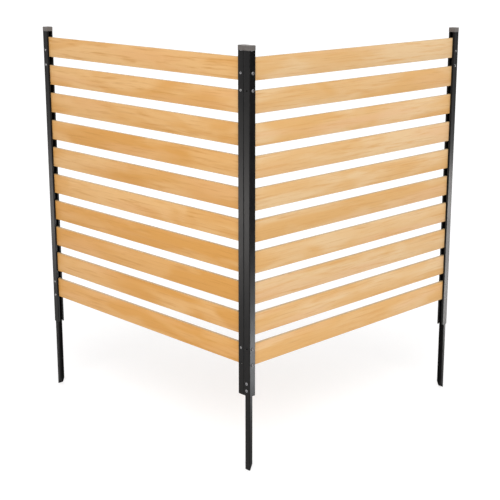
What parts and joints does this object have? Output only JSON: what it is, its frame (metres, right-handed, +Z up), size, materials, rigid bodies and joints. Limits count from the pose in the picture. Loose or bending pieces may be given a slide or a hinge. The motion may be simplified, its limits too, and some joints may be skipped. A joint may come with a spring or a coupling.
{
  "type": "privacy screen",
  "caption": "Free-standing square-cornered privacy screen of level wood-look slats between black channel posts, with push-in caps and bolted ground stakes.",
  "frame": {"origin": "below the middle of the screen's box, level with the stake tips", "axes": "+Z up along the posts; +X along the right panel towards its free end; +Y along the left panel towards its free end; the panels' outer faces look to -Y and -X"},
  "size_m": [0.936, 0.9592, 1.219],
  "materials": {
    "black_powder_coat": "satin black powder coat on folded steel",
    "wood_look": "light cedar tone with fine grain along the slat",
    "grey_plastic": "moulded dark grey, fine texture",
    "black_zinc": "black plated steel"
  },
  "bodies": {
    "root": {"post_left_end": "black_powder_coat", "post_left_corner": "black_powder_coat", "post_right_corner": "black_powder_coat", "post_right_end": "black_powder_coat", "cap_left_end": "grey_plastic", "cap_left_corner": "grey_plastic", "cap_right_corner": "grey_plastic", "cap_right_end": "grey_plastic", "slat_left_01": "wood_look", "slat_left_02": "wood_look", "slat_left_03": "wood_look", "slat_left_04": "wood_look", "slat_left_05": "wood_look", "slat_left_06": "wood_look", "slat_left_07": "wood_look", "slat_left_08": "wood_look", "slat_left_09": "wood_look", "slat_left_10": "wood_look", "slat_right_01": "wood_look", "slat_right_02": "wood_look", "slat_right_03": "wood_look", "slat_right_04": "wood_look", "slat_right_05": "wood_look", "slat_right_06": "wood_look", "slat_right_07": "wood_look", "slat_right_08": "wood_look", "slat_right_09": "wood_look", "slat_right_10": "wood_look", "stake_left": "black_powder_coat", "stake_corner": "black_powder_coat", "stake_right": "black_powder_coat", "corner_bolt_1": "black_zinc", "corner_bolt_2": "black_zinc", "corner_bolt_3": "black_zinc", "corner_bolt_4": "black_zinc", "corner_nut_1": "black_zinc", "corner_nut_2": "black_zinc", "corner_nut_3": "black_zinc", "corner_nut_4": "black_zinc", "stake_bolt_left_lower": "black_zinc", "stake_bolt_left_upper": "black_zinc", "stake_bolt_corner_lower": "black_zinc", "stake_bolt_corner_upper": "black_zinc", "stake_bolt_right_lower": "black_zinc", "stake_bolt_right_upper": "black_zinc", "stake_nut_left_lower": "black_zinc", "stake_nut_left_upper": "black_zinc", "stake_nut_corner_lower": "black_zinc", "stake_nut_corner_upper": "black_zinc", "stake_nut_right_lower": "black_zinc", "stake_nut_right_upper": "black_zinc"}
  },
  "joints": []
}
